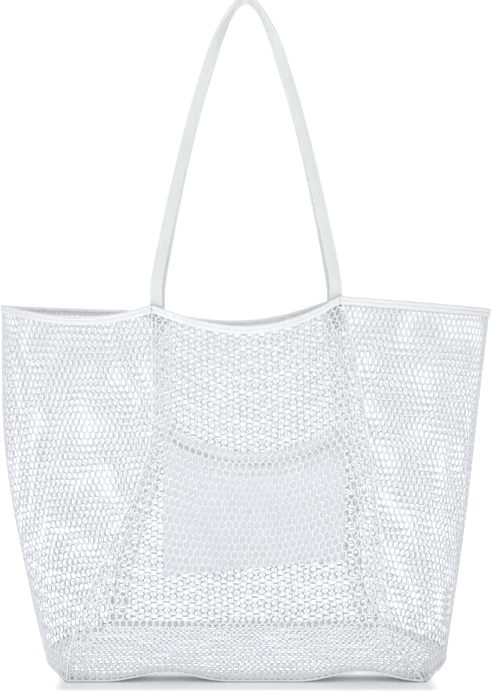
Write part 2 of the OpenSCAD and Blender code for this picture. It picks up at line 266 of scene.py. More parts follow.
def wall_normal(wall, u, z):
    """Outward normals of a wall at arrays of u and z."""
    across = wall_point(wall, u + 0.004, z) - wall_point(wall, u - 0.004, z)
    up = wall_point(wall, u, z + 1 * MM) - wall_point(wall, u, z - 1 * MM)
    n = unit(np.cross(across, up))
    return n if wall in (FRONT, RIGHT) else -n


def along_line(points):
    """Distances along a line of points, from its start."""
    return np.concatenate([[0], np.cumsum(np.linalg.norm(np.diff(points, axis=0), axis=1))])


def finish_mesh(name, points, faces, material):
    """A smooth mesh object from arrays, at the origin, with its material."""
    data = bpy.data.meshes.new(name)
    data.from_pydata([tuple(p) for p in points], [], faces)
    data.update()
    made = bpy.data.objects.new(name, data)
    bpy.context.scene.collection.objects.link(made)
    data.materials.append(material)
    data.polygons.foreach_set("use_smooth", [True] * len(data.polygons))
    return made


# ---- Net panels ----
# Knitted polyester net with tall six-sided holes. Each strand is a flat bundle of yarn with rounded
# sides, so the holes have soft corners. The panels are cut to shape, the back one crosswise to the
# knitting, then sewn at their edges, and they hang.
cell_w = 6.1 * MM
row_h = 7.05 * MM
side_half = 2.3 * MM
strand_w = 2.1 * MM
strand_t = 1.3 * MM
tip = row_h - side_half
ring = np.array([
    (0, tip), (-cell_w / 4, (tip + side_half) / 2), (-cell_w / 2, side_half), (-cell_w / 2, 0),
    (-cell_w / 2, -side_half), (-cell_w / 4, -(tip + side_half) / 2), (0, -tip),
    (cell_w / 4, -(tip + side_half) / 2), (cell_w / 2, -side_half), (cell_w / 2, 0),
    (cell_w / 2, side_half), (cell_w / 4, (tip + side_half) / 2)])
ring_r = np.linalg.norm(ring, axis=1)
hole_a, hole_b = cell_w / 2 - strand_w / 2, tip - 0.62 * strand_w
hole_power = 2.6
hole_x, hole_y = np.abs(ring / ring_r[:, None] / np.array([hole_a, hole_b])).T ** hole_power
hole_r = (hole_x + hole_y) ** (-1 / hole_power)
solid_share = 1 - 0.93 * math.pi * hole_a * hole_b / (cell_w * row_h)


def uneven(p, q, seed):
    """Small drifts in the knitting, so that no two holes are quite alike."""
    a = np.sin(p * 95 + q * 43 + seed) + np.sin(q * 131 - p * 61 + 2.1 * seed)
    b = np.sin(q * 88 - p * 37 + 1.7 * seed) + np.sin(p * 143 + q * 59 + 0.6 * seed)
    fine = np.sin(p * 5170 + seed) * np.sin(q * 4310 - seed)
    return 0.55 * MM * a + 0.10 * MM * fine, 0.5 * MM * b + 0.10 * MM * np.cos(p * 4730 + q * 3900)


def net_mesh(name, limits, place, length, seed, material, crosswise=False):
    """Net over a region from q = 0 to its length. limits(q) gives the least and greatest p there, and
    place(p, q) the points and normals. Crosswise, the tall holes lie along p."""
    farthest, weld = 360 * MM, 0.05 * MM
    span = int(farthest / cell_w)
    grid_r, grid_c = np.meshgrid(np.arange(-span, span + 1), np.arange(-span, span + 1), indexing="ij")
    centres = np.stack([(grid_c + 0.5 * (grid_r % 2)) * cell_w, (grid_r + 0.45) * row_h], -1).reshape(-1, 2)
    outline, opening = ring, hole_r
    if crosswise:
        centres, outline, opening = centres[:, ::-1], ring[::-1, ::-1], hole_r[::-1]
    low, high = limits(np.clip(centres[:, 1], 0, length))
    slack = 0.3 * cell_w
    kept = (centres[:, 0] > low - slack) & (centres[:, 0] < high + slack)
    kept &= (centres[:, 1] > -0.2 * row_h) & (centres[:, 1] < length + 0.2 * row_h)
    centres = centres[kept]
    corners = centres[:, None, :] + outline[None]
    keys = np.round(corners / weld).astype(int).reshape(-1, 2)
    keys, at = np.unique(keys, axis=0, return_inverse=True)
    at = at.reshape(-1, 12)
    flat = keys * weld
    drift_p, drift_q = uneven(flat[:, 0], flat[:, 1], seed)
    p, q = flat[:, 0] + drift_p, np.clip(flat[:, 1] + drift_q, 0, length)
    low, high = limits(q)
    p = np.clip(p, low, high)
    middle, normal = place(p, q)
    count = len(middle)
    cell = middle[at]
    centre = cell.mean(axis=1, keepdims=True)
    reach = cell - centre
    far = np.linalg.norm(reach, axis=2, keepdims=True)
    hole = np.minimum(opening[None, :, None], far - 0.4 * strand_w)
    hole = np.maximum(hole, 0.12 * far)
    inner = centre + reach * (hole / np.maximum(far, 1e-9))
    half = normal * strand_t / 2
    points = np.concatenate([middle + half, middle - half, inner.reshape(-1, 3)])
    number = np.arange(len(at))[:, None] * 12 + np.arange(12)[None] + 2 * count
    nxt, number_next = np.roll(at, -1, axis=1), np.roll(number, -1, axis=1)
    front = np.stack([at, nxt, number_next, number], -1).reshape(-1, 4)
    back = np.stack([nxt + count, at + count, number, number_next], -1).reshape(-1, 4)
    edges = np.stack([at, nxt], -1).reshape(-1, 2)
    _, which, uses = np.unique(np.sort(edges, axis=1), axis=0, return_index=True, return_counts=True)
    rim = edges[which[uses == 1]]
    rim = rim[rim[:, 0] != rim[:, 1]]
    closing = np.stack([rim[:, 1], rim[:, 0], rim[:, 0] + count, rim[:, 1] + count], -1)
    faces = np.concatenate([front, back, closing])
    return finish_mesh(name, points, faces.tolist(), material)


def wall_net(wall, name, seed, material):
    """Net over a wall, hung from the rim and cut off along the corner seams."""
    foot, tucked = 1.5 * MM, 0.25 * binding_h
    length = rim_h - binding_h - foot
    turn = -1 if wall in (BACK, LEFT) else 1
    us = np.linspace(0, 1, 121)

    def row(q):
        z = mix(foot, rim_at(wall, us) - tucked, q / length)
        points = wall_point(wall, us, z)
        if wall in (FRONT, BACK):
            return points[:, 0], z
        along = along_line(points)
        return along - np.interp(0.5, us, along), z

    shares = np.linspace(0, length, 80)
    table = [row(q) for q in shares]
    edge_low = np.array([t[0][0] for t in table])
    edge_high = np.array([t[0][-1] for t in table])

    def limits(q):
        low, high = np.interp(q, shares, edge_low), np.interp(q, shares, edge_high)
        return (low, high) if turn == 1 else (-high, -low)

    def place(p, q):
        u = np.zeros(len(p))
        levels, which = np.unique(np.round(q / (0.25 * MM)).astype(int), return_inverse=True)
        for i, level in enumerate(levels):
            here = which == i
            along, _ = row(level * 0.25 * MM)
            u[here] = np.interp(p[here] * turn, along, us)
        share = q / length
        if wall == FRONT:
            # The handles' weight draws the net up towards their feet, the right one more.
            drawn = 0.020 * np.exp(-((1 - u) / 0.26) ** 2) + 0.012 * np.exp(-(u / 0.2) ** 2)
            share = share + drawn / length * 6.75 * share ** 2 * (1 - share)
        z = mix(foot, rim_at(wall, u) - tucked, share)
        normal = wall_normal(wall, u, z)
        return wall_point(wall, u, z) - normal * net_t / 2, normal

    made = net_mesh(name, limits, place, length, seed, material, crosswise=wall == BACK)
    widths = edge_high - edge_low
    outline = float(np.mean(widths)) * length
    flat = (float(widths.max()), length)
    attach(made, "bag")
    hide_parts(name)
    return made, flat, outline * solid_share


# Matte polyester yarn: nearly white, with a slightly cool cast, a soft sheen at grazing angles
# and a fine knitted twist in its relief.
net_yarn, tree = new_material("knitted_polyester_net")
coords = add_node(tree, "ShaderNodeTexCoord")
cloud = add_node(tree, "ShaderNodeTexNoise", {"Vector": (coords, "Object"), "Scale": 22.0, "Detail": 2.0})
tint = add_node(tree, "ShaderNodeMix", {"Factor": (cloud, "Fac"), "A": srgb("#DDE0E5"), "B": srgb("#E9EBEF")},
                data_type="RGBA")
twist = add_node(tree, "ShaderNodeTexNoise", {"Vector": (coords, "Object"), "Scale": 1900.0, "Detail": 1.0})
relief = add_node(tree, "ShaderNodeBump", {"Height": (twist, "Fac"), "Strength": 0.35, "Distance": 0.25 * MM})
shader = add_node(tree, "ShaderNodeBsdfPrincipled", {
    "Base Color": (tint, 2), "Roughness": 0.72, "Normal": (relief, 0), "Sheen Weight": 0.15,
    "Sheen Roughness": 0.5, "Specular IOR Level": 0.3})
add_node(tree, "ShaderNodeOutputMaterial", {"Surface": (shader, 0)})

nets = {}
for wall, name, seed in ((FRONT, "front_panel", 0.3), (BACK, "back_panel", 1.9),
                         (LEFT, "left_gusset", 3.1), (RIGHT, "right_gusset", 4.4)):
    nets[name] = wall_net(wall, name, seed, net_yarn)

# The base is a sixth piece of the same net, lying on the floor inside the four walls.
base_us = np.linspace(0, 1, 81)
side_edge = {side: wall_point(side, base_us, 0.0) for side in (LEFT, RIGHT)}


def base_limits(q):
    """Left and right ends of the base at a distance q from its back edge."""
    y = base_hi.y - q
    left = np.interp(y, side_edge[LEFT][:, 1], side_edge[LEFT][:, 0])
    right = np.interp(y, side_edge[RIGHT][:, 1], side_edge[RIGHT][:, 0])
    return left, right


def base_place(p, q):
    """Points and downward normals of the base's net."""
    y = base_hi.y - q
    z = 0.75 * MM + floor_lift(p, y)
    return np.stack([p, y, z], -1), np.tile([0.0, 0, -1], (len(p), 1))


base_net = net_mesh("base_panel", base_limits, base_place, 2 * half_depth, 5.2, net_yarn)
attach(base_net, "bag")
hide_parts("base_panel")
low, high = base_limits(np.linspace(0, 2 * half_depth, 60))
nets["base_panel"] = (base_net, (float((high - low).max()), 2 * half_depth),
                      float((high - low).mean()) * 2 * half_depth * solid_share)

for name, (piece, flat, area) in nets.items():
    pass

# ---- Sewing thread and soft strips ----
# Tapes, bindings and straps are closed strips, swept as rings along their seam. Each carries a UV
# map in metres along and across the strip, which the weaves below read.
def soft_strip(name, rings, material, body):
    """A closed piece through rings of equal length, its ends closed by rows of quads."""
    rings = np.asarray(rings, float)
    count, size = rings.shape[:2]
    r, m = np.meshgrid(np.arange(count - 1), np.arange(size), indexing="ij")
    r, m = r.ravel(), m.ravel()
    after = (m + 1) % size
    quads = np.stack([r * size + m, r * size + after, (r + 1) * size + after, (r + 1) * size + m], -1)
    along = along_line(rings.mean(1))
    middle = rings[count // 2]
    across = np.concatenate([[0], np.cumsum(np.linalg.norm(np.roll(middle, -1, 0) - middle, axis=1))])
    uvs = np.stack([np.stack([along[r], across[m]], -1), np.stack([along[r], across[m + 1]], -1),
                    np.stack([along[r + 1], across[m + 1]], -1), np.stack([along[r + 1], across[m]], -1)], 1)
    i = np.arange(size // 2 - 1)
    cap = np.stack([size - 1 - i, size - 2 - i, i + 1, i], -1)
    last = (count - 1) * size
    faces = np.concatenate([quads, cap, cap[:, ::-1] + last])
    points = rings.reshape(-1, 3)
    corner = points[faces]
    volume = np.einsum("ij,ij->i", corner[:, 0], np.cross(corner[:, 1], corner[:, 2]) +
                       np.cross(corner[:, 2], corner[:, 3])).sum()
    cap_uv = np.zeros((2 * len(cap), 4, 2))
    uvs = np.concatenate([uvs, cap_uv])
    if volume < 0:
        faces, uvs = faces[:, ::-1], uvs[:, ::-1]
    made = finish_mesh(name, points, faces.tolist(), material)
    layer = made.data.uv_layers.new(name="along_and_across")
    layer.data.foreach_set("uv", uvs.ravel())
    if body:
        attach(made, body)
    return made


# Spun polyester sewing thread, brighter than the cloth and with a slight shine.
thread, tree = new_material("polyester_sewing_thread")
coords = add_node(tree, "ShaderNodeTexCoord")
ply = add_node(tree, "ShaderNodeTexWave", {"Vector": (coords, "Object"), "Scale": 0.314159 / (0.6 * MM)},
               bands_direction="DIAGONAL")
relief = add_node(tree, "ShaderNodeBump", {"Height": (ply, "Fac"), "Strength": 0.4, "Distance": 0.1 * MM})
shader = add_node(tree, "ShaderNodeBsdfPrincipled", {
    "Base Color": srgb("#FAFBFC"), "Roughness": 0.5, "Normal": (relief, 0), "Sheen Weight": 0.2})
add_node(tree, "ShaderNodeOutputMaterial", {"Surface": (shader, 0)})

stitch_l, stitch_pitch, stitch_r = 2.7 * MM, 3.6 * MM, 0.32 * MM


def pick(*pieces):
    """Selects pieces and nothing else, the first of them active."""
    clear_selection()
    for piece in pieces:
        piece.select_set(True)
    bpy.context.view_layer.objects.active = pieces[0]


def edit_all():
    """Enters edit mode on the active piece with all of it selected."""
    bpy.ops.object.mode_set(mode="EDIT")
    bpy.ops.mesh.select_all(action="SELECT")


def stitch_row(piece, line, normals):
    """Sews a row of stitches into a piece along a line, each a short bead half sunk in the cloth.
    normals is one direction for the whole row, or one for each point."""
    line = np.asarray(line, float)
    normals = np.broadcast_to(np.asarray(normals, float), line.shape)
    run = along_line(line)
    starts = np.arange(stitch_pitch / 2, run[-1] - stitch_l, stitch_pitch)
    if not len(starts):
        return
    spans = np.array([0, 0.18, 0.5, 0.82, 1.0]) * stitch_l
    swell = np.array([0.15, 0.85, 1.0, 0.85, 0.15]) * stitch_r
    at = starts[:, None] + spans[None]
    centre = np.stack([np.interp(at, run, line[:, j]) for j in range(3)], -1)
    out = np.stack([np.interp(at, run, normals[:, j]) for j in range(3)], -1)
    way = unit(centre[:, -1:] - centre[:, :1])
    side = np.cross(out, np.broadcast_to(way, out.shape))
    sides = 6
    turn = np.arange(sides) * 2 * math.pi / sides
    offset = (out[:, :, None] * np.sin(turn)[None, None, :, None] +
              side[:, :, None] * np.cos(turn)[None, None, :, None]) * swell[None, :, None, None]
    dip = (1 - np.sin(math.pi * spans / stitch_l)) * -0.35 * stitch_r
    rings = centre[:, :, None] + offset + out[:, :, None] * dip[None, :, None, None]
    number = len(starts)
    block = len(spans) * sides
    faces = []
    for r in range(len(spans) - 1):
        for m in range(sides):
            n = (m + 1) % sides
            faces.append((r * sides + m, r * sides + n, (r + 1) * sides + n, (r + 1) * sides + m))
    faces.append(tuple(range(sides - 1, -1, -1)))
    faces.append(tuple(range(block - sides, block)))
    every = [tuple(v + k * block for v in f) for k in range(number) for f in faces]
    row = finish_mesh("row", rings.reshape(-1, 3), every, thread)
    pick(row)
    edit_all()
    bpy.ops.mesh.normals_make_consistent(inside=False)
    bpy.ops.object.mode_set(mode="OBJECT")
    row.data.uv_layers.new(name="along_and_across")
    pick(piece, row)
    bpy.ops.object.join()
    clear_selection()


def joined(name, blocks):
    """Joins blocks into one piece."""
    pick(*blocks)
    bpy.ops.object.join()
    made = bpy.context.object
    made.name = name
    made.data.name = name
    clear_selection()
    return made


def woven(name, light, groove_shade_and_tone, rib, cross, depth, roughness):
    """Woven cloth seen through its UV map: ribs along and threads across, at real spacings. Its colour is
    darker in the grooves between the ribs (painted shade) and darker at random with a cloud (the cloth's own
    uneven tone).
    """
    made, tree = new_material(name)
    coords = add_node(tree, "ShaderNodeTexCoord")
    ribs = add_node(tree, "ShaderNodeTexWave", {"Vector": (coords, "UV"), "Scale": 0.314159 / rib,
                    "Distortion": 0.6, "Detail": 1.0}, bands_direction="X")
    threads = add_node(tree, "ShaderNodeTexWave", {"Vector": (coords, "UV"), "Scale": 0.314159 / cross,
                       "Distortion": 0.5, "Detail": 1.0}, bands_direction="Y")
    height = add_node(tree, "ShaderNodeMath", {0: (ribs, "Fac"), 1: (threads, "Fac")}, operation="ADD")
    relief = add_node(tree, "ShaderNodeBump", {"Height": (height, 0), "Strength": 0.5, "Distance": depth})
    cloud = add_node(tree, "ShaderNodeTexNoise", {"Vector": (coords, "Object"), "Scale": 30.0, "Detail": 3.0})
    # Painted shade and real tone: the colour is darker where the ribs are low (painted shade in the grooves)
    # and where the cloud is low (uneven tone of the cloth).
    groove_shade_and_tone_mask = add_node(tree, "ShaderNodeMath", {0: (ribs, "Fac"), 1: (cloud, "Fac")}, operation="MULTIPLY")
    tint = add_node(tree, "ShaderNodeMix", {"Factor": (groove_shade_and_tone_mask, 0), "A": srgb(groove_shade_and_tone), "B": srgb(light)},
                    data_type="RGBA")
    shader = add_node(tree, "ShaderNodeBsdfPrincipled", {
        "Base Color": (tint, 2), "Roughness": roughness, "Normal": (relief, 0), "Sheen Weight": 0.15,
        "Sheen Roughness": 0.4, "Specular IOR Level": 0.3})
    add_node(tree, "ShaderNodeOutputMaterial", {"Surface": (shader, 0)})
    return made


# ---- Rim bindings ----
# A strip of closely woven tape is folded over the top edge of each wall, with a cord-like roll
# along the very top, and sewn through with one row of stitches below the roll.
rim_cloth = woven("woven_rim_binding", "#FAFBFB", "#E3E5E7", 1.1 * MM, 0.8 * MM, 0.3 * MM, 0.66)
# Its section, out and up from the rim: over the roll, down the outer face and back up the inner one.
rim_profile = np.array([
    (0.35, 0.1), (1.0, -0.12), (1.6, -0.6), (1.9, -1.5), (1.75, -2.4), (1.25, -3.0), (0.85, -3.3),
    (0.95, -3.8), (1.25, -4.5), (1.3, -5.3), (1.15, -5.9), (1.3, -6.6), (1.15, -7.4), (0.75, -7.8),
    (0.5, -7.6), (0.45, -6.8), (0.45, -6.0), (0.45, -5.2), (0.45, -4.4), (0.3, -3.7), (-0.4, -3.3),
    (-1.25, -3.0), (-1.75, -2.4), (-1.9, -1.5), (-1.6, -0.6), (-1.0, -0.12), (-0.7, 0.0), (-0.35, 0.1)]) * MM
named_walls = ((FRONT, "front"), (BACK, "back"), (LEFT, "left"), (RIGHT, "right"))


def rim_line(wall, u):
    """Rim points of a wall and level outward normals, turned into each other at the corners."""
    line = wall_point(wall, u, rim_at(wall, u))
    out = wall_normal(wall, u, rim_at(wall, u) - 2 * MM)
    out[:, 2] = 0
    neighbours = (LEFT, RIGHT) if wall in (FRONT, BACK) else (FRONT, BACK)
    at = 0.0 if wall in (FRONT, LEFT) else 1.0
    for end, neighbour in zip((0, -1), neighbours):
        level = np.array([rim_at(neighbour, at)])
        beyond = wall_normal(neighbour, np.array([at]), level - 2 * MM)[0]
        beyond[2] = 0
        far = np.linalg.norm(line - line[end], axis=1)
        share = 0.5 * (1 - ease(far / (9 * MM)))
        out = out * (1 - share[:, None]) + beyond * share[:, None]
    return line, unit(out)


for wall, name in named_walls:
    u = np.linspace(0, 1, 110 if wall in (FRONT, BACK) else 170)
    line, out = rim_line(wall, u)
    run = along_line(line)
    pucker = 0.10 * MM * np.cos(2 * math.pi * run / stitch_pitch) + 0.15 * MM * np.sin(run * 160 + wall)
    rings = []
    for p, n, k in zip(line, out, pucker):
        swell = 1 + k / (1.6 * MM) * 0.5
        rings.append([p + n * (q[0] * swell - net_t / 2) + np.array([0, 0, q[1]]) for q in rim_profile])
    binding = soft_strip(name + "_rim_binding", rings, rim_cloth, "bag")
    row = line + out * (1.15 * MM - net_t / 2) - np.array([0, 0, 5.9 * MM])
    stitch_row(binding, row, out)
    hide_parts(name + "_rim_binding")

# ---- Corner seams ----
# The nets are sewn face to face at each corner. Their edges are turned onto the front or back panel
# and held inside by an openwork ladder tape, and outside the seam shows as a thin ridge of yarn.
tape_cloth = woven("woven_polyester_tape", "#FDFDFD", "#F0F1F2", 1.1 * MM, 0.8 * MM, 0.25 * MM, 0.68)
tape_w, tape_t = 14 * MM, 1.0 * MM
rung_pitch, rung_w = 3.6 * MM, 1.3 * MM
outer_rail = (1.4 * MM, 2.6 * MM)                # distance from the seam, and width
inner_rail = (tape_w + 0.8 * MM, 2.2 * MM)
rung_span = (3.4 * MM, tape_w + 1.6 * MM)
seam_r, seam_twist = 0.8 * MM, 2.4 * MM


def thread_ring(centre, one_way, other_way, radius):
    """A ring of ten points round the seam's yarn, in the plane of two directions."""
    return [centre + (one_way * math.cos(a) + other_way * math.sin(a)) * radius
            for a in np.arange(10) * 2 * math.pi / 10]


def strip_ring(place, width_from, width_to, depth_from, depth_to, columns):
    """One ring across a strip: out over its outer face and back over its inner one."""
    a = np.linspace(width_from, width_to, columns)
    round_off = np.minimum(1, np.minimum(np.arange(columns), np.arange(columns)[::-1]) + 0.25)
    middle, half = (depth_from + depth_to) / 2, (depth_to - depth_from) / 2
    outer = [place(x, middle - half * r) for x, r in zip(a, round_off)]
    inner = [place(x, middle + half * r) for x, r in zip(a[::-1], round_off[::-1])]
    return outer + inner


for wall, where in named_walls[:2]:
    for side, hand in named_walls[2:]:
        inner_u = 18 * MM / panel_top[wall]
        top = float(rim_at(wall, inner_u if side == LEFT else 1 - inner_u)) - binding_h + 3 * MM
        low_z = 3.4 * MM
        depth = net_t + 0.25 * MM

        def on_tape(x, z, d):
            """A point at a distance x from the seam and a depth d inside the panel."""
            wide = seam_half(LEFT, wall, z / rim_h) + seam_half(RIGHT, wall, z / rim_h)
            share = x / wide if side == LEFT else 1 - x / wide
            return wall_point(wall, share, z) - wall_normal(wall, share, z) * d

        rails = []
        for inset, rail_w in (outer_rail, inner_rail):
            rings = []
            for z in np.linspace(low_z, top, 150):
                wobble = 0.4 * MM * math.sin(z * 210 + side) + 0.2 * MM * math.sin(z * 470)
                crimp = 0.12 * MM * math.cos(2 * math.pi * z / stitch_pitch)
                rings.append(strip_ring(lambda x, d: on_tape(x, z, d), inset + wobble,
                                        inset + rail_w + wobble, depth, depth + tape_t + crimp, 6))
            rails.append(soft_strip("rail", rings, tape_cloth, "bag"))
        for z in np.arange(low_z + 2 * MM, top - 2 * MM, rung_pitch):
            slope = 0.8 * MM * math.sin(z * 90 + wall)
            rings = []
            for x in np.linspace(*rung_span, 6):
                rise = slope * (x / tape_w - 0.5)
                rings.append([on_tape(x, z + rise + rung_w / 2 * math.cos(a), depth + tape_t / 2
                                      + 0.35 * tape_t * math.sin(a)) for a in np.arange(8) * math.pi / 4])
            rails.append(soft_strip("rung", rings, tape_cloth, "bag"))
        tape = joined(f"{where}_{hand}_seam_tape", rails)
        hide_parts(f"{where}_{hand}_seam_tape")
        zs = np.linspace(low_z + 3 * MM, top - 3 * MM, 150)
        seam = [on_tape(outer_rail[0] + outer_rail[1] / 2, z, depth + tape_t) for z in zs]
        stitch_row(tape, seam, [-wall_normal(wall, 0.5, z) for z in zs])
        edge, side_edge_u = float(side == RIGHT), float(wall == BACK)
        rings = []
        for z in np.linspace(1.6 * MM, float(rim_at(wall, edge)) - 6 * MM, 170):
            n = unit(wall_normal(wall, edge, z) + wall_normal(side, side_edge_u, z))
            t = unit(wall_point(wall, edge, z + 1 * MM) - wall_point(wall, edge, z - 1 * MM))
            r = seam_r * (1 + 0.14 * math.cos(2 * math.pi * z / seam_twist) + 0.12 * math.sin(z * 330))
            rings.append(thread_ring(wall_point(wall, edge, z) - n * 0.5 * MM, np.cross(t, n), n, r))
        soft_strip(f"{where}_{hand}_seam_thread", rings, net_yarn, "bag")

# ---- Base seams ----
# The base is sewn to the walls along the same kind of ridge, and a woven tape lies over the seam
# allowance on the inside.
base_tape_in, base_tape_low, base_tape_high = 2.4 * MM, 1.9 * MM, 3.0 * MM
for wall, where in named_walls:
    us = np.linspace(0, 1, 140)
    edge = wall_point(wall, us, 1.4 * MM)
    inward = -wall_normal(wall, us, 4 * MM)
    inward[:, 2] = 0
    inward = unit(inward)
    run = along_line(edge)
    rings = []
    for i in range(len(us)):
        r = seam_r * (1.05 + 0.14 * math.cos(2 * math.pi * run[i] / seam_twist))
        t = unit(edge[min(i + 1, len(us) - 1)] - edge[max(i - 1, 0)])
        rings.append(thread_ring(edge[i] + inward[i] * 0.4 * MM, inward[i], np.cross(t, inward[i]), r))
    soft_strip(where + "_base_seam_thread", rings, net_yarn, "bag")
    inset = 3.2 * MM + (tape_w if wall in (LEFT, RIGHT) else 0)
    kept = (run > inset) & (run < run[-1] - inset)
    rings, rows = [], []
    for i in np.flatnonzero(kept):
        crimp = 0.15 * MM * math.cos(2 * math.pi * run[i] / stitch_pitch)

        def place(x, d):
            p = edge[i] + inward[i] * x
            lift = floor_lift(p[0], p[1])
            return np.array([p[0], p[1], d + lift])

        rings.append(strip_ring(place, base_tape_in, base_tape_in + tape_w,
                                base_tape_high + crimp, base_tape_low, 8))
        rows.append([place(x, base_tape_high + 0.05 * MM) for x in (4.2 * MM, tape_w + 0.6 * MM)])
    tape = soft_strip(where + "_base_tape", rings, tape_cloth, "bag")
    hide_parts(where + "_base_tape")
    for j in (0, 1):
        stitch_row(tape, [r[j] for r in rows], (0, 0, 1))

# ---- Handles ----
# Each handle is one length of woven strap, folded in three and sewn along both edges. Its ends go
# down inside the rim, and it stands up in a pointed arch that turns edge-on at the top.
strap_cloth = woven("folded_woven_strap", "#F1F1F2", "#DBDCDE", 1.3 * MM, 1.0 * MM, 0.3 * MM, 0.62)
sewn_lo, sewn_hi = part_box("front_left_strap_end")
hinges = {j["name"]: j["pos_m"] for j in frame["joints"]}
arch_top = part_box("front_handle")[1].z
arch_blunt = 0.08


def arch_drop(s):
    """Shape of the arch: the drop from its top at a share s of the half width."""
    return (s * s + arch_blunt ** 2) ** (5 / 6) - arch_blunt ** (5 / 3)


def strap_rings(hinge, out, foot_x):
    """Rings of one strap from its left sewn end over the arch to its right one."""
    lean = math.atan2(abs(hinge[1]) - strap_w / 2 - 0.5 * MM, arch_top - hinge[2])
    reach = (arch_top - hinge[2]) / math.cos(lean)
    h_table = np.linspace(-50 * MM, reach + 5 * MM, 1200)
    tilt = lean * ease((h_table + 5 * MM) / (14 * MM))
    step = h_table[1] - h_table[0]
    y_table = np.cumsum(np.sin(tilt)) * step
    z_table = np.cumsum(np.cos(tilt)) * step
    z_table += hinge[2] - np.interp(0, h_table, z_table)
    limb = np.sign(np.linspace(-1, 1, 201)) * np.abs(np.linspace(-1, 1, 201)) ** 1.15
    x = foot_x * limb
    h = reach * (1 - arch_drop(limb) / arch_drop(1))
    down = np.linspace(sewn_lo.z + 1.5 * MM - hinge[2], -3 * MM, 22)
    x = np.concatenate([np.full(22, -foot_x), x[1:-1], np.full(22, foot_x)])
    h = np.concatenate([down, h[1:-1], down[::-1]])
    for _ in range(5):
        x[1:-1] = (x[:-2] + 2 * x[1:-1] + x[2:]) / 4
        h[1:-1] = (h[:-2] + 2 * h[1:-1] + h[2:]) / 4
    y = hinge[1] - out * np.interp(h, h_table, y_table)
    z = np.interp(h, h_table, z_table)
    lean_here = np.interp(h, h_table, tilt)
    rings = []
    count = len(x)
    for i in range(count):
        a, b = max(i - 1, 0), min(i + 1, count - 1)
        flat_t = unit(np.array([x[b] - x[a], h[b] - h[a]]))
        plane_y = np.array([0, -out * math.sin(lean_here[i]), math.cos(lean_here[i])])
        proud = np.array([0, out * math.cos(lean_here[i]), math.sin(lean_here[i])])
        side = np.array([-flat_t[1], 0, 0]) + plane_y * flat_t[0]
        s = x[i] / foot_x
        turn = math.radians(90) * (1 - float(ease((abs(s) - 0.12) / 0.4)))
        held = float(ease((-h[i] + 2 * MM) / (12 * MM)))
        thick = strap_t * (0.84 - 0.22 * held)
        shift = 0.9 * MM * held
        ring = []
        for a in np.arange(28) * 2 * math.pi / 28:
            c, d = math.cos(a), math.sin(a)
            across = strap_w / 2 * math.copysign(abs(c) ** 0.42, c)
            depth = thick / 2 * math.copysign(abs(d) ** 0.55, d)
            groove = math.exp(-((abs(across) - 3.7 * MM) / (0.7 * MM)) ** 2)
            depth *= 1 - 0.20 * groove
            wide = across * math.cos(turn) - depth * math.sin(turn)
            deep = across * math.sin(turn) + depth * math.cos(turn) + shift
            ring.append(np.array([x[i], y[i], z[i]]) + side * wide + proud * deep)
        rings.append(ring)
    return np.array(rings)


for wall, where, out in ((FRONT, "front", -1), (BACK, "back", 1)):
    hinge = hinges[where + "_handle_swing"]
    rings = strap_rings(hinge, out, strap_x[wall])
    strap = soft_strip(where + "_handle", rings, strap_cloth, None)
    for k in (3, 11, 17, 25):
        n = unit(rings[:, k] - rings.mean(1))
        across = unit(rings[:, 0] - rings[:, 14])
        n = n - across * np.einsum("ij,ij->i", n, across)[:, None]
        stitch_row(strap, rings[:, k], unit(n))
    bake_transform(strap)
    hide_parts(where + "_handle")
    # The strap's end is turned up over itself and sewn inside the rim with a box and a cross.
    patch_half, patch_t = 5.7 * MM, 1.75 * MM
    inner_y = hinge[1] - out * 2.45 * MM
    for hand, x0 in (("left", -strap_x[wall]), ("right", strap_x[wall])):
        rings = []
        for z in np.linspace(sewn_lo.z + 0.3 * MM, sewn_hi.z - 0.5 * MM, 40):
            end = min(1.0, (z - sewn_lo.z) / (1.4 * MM), (sewn_hi.z + 0.4 * MM - z) / (1.4 * MM))
            quilt = 0.12 * MM * math.cos(2 * math.pi * z / stitch_pitch)

            def place(xx, d):
                return np.array([x0 + xx, inner_y + out * d, z])

            thin = (1 - end) * 0.6 * MM
            rings.append(strip_ring(place, -patch_half, patch_half, thin, patch_t + quilt, 10))
        patch = soft_strip(f"{where}_{hand}_strap_end", rings, strap_cloth, "bag")
        low_z, high_z, half = sewn_lo.z + 2.5 * MM, sewn_lo.z + 25 * MM, 4.3 * MM
        corners = [(-half, low_z), (half, low_z), (half, high_z), (-half, high_z),
                   (-half, low_z), (half, high_z), (-half, high_z), (half, low_z)]
        for (xa, za), (xb, zb) in zip(corners[:-1], corners[1:]):
            line = [np.array([x0 + mix(xa, xb, k), inner_y, mix(za, zb, k)]) for k in np.linspace(0, 1, 12)]
            stitch_row(patch, line, (0, -out, 0))
        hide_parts(f"{where}_{hand}_strap_end")

# ---- Inner pocket ----
# A flat pouch of fine white cloth hangs inside the back panel. Its back layer is sewn to the panel,
# its front layer is hemmed and stitched round three sides, and its top hangs in a wide curve.
arc_centre = Vector(hinges["zip_slide"])
back_lo, back_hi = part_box("pocket_back")
upper_lo, upper_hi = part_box("zip_upper_tape")
cloth_t = 0.8 * MM
slant = 18 * MM
pocket_arc = 150 * MM
zip_tape_w = 10 * MM
zip_r = math.hypot(hinges["puller_swing"][0] - arc_centre.x, hinges["puller_swing"][2] - arc_centre.z)
lower_r = arc_centre.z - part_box("zip_lower_tape")[0].z - zip_tape_w
front_arc = lower_r + zip_tape_w - 0.3 * MM
# Fine plain-woven polyester, nearly smooth. Its threads are drawn 0.9 mm apart, coarser than real
# ones, so that they show at all.
pocket_cloth = woven("fine_polyester_cloth", "#FCFDFF", "#F5F7FA", 0.9 * MM, 0.9 * MM, 0.12 * MM, 0.75)


def pocket_foot(x):
    """Height of the pocket's slanting lower edge."""
    return back_lo.z + slant * (x - back_lo.x) / (back_hi.x - back_lo.x)


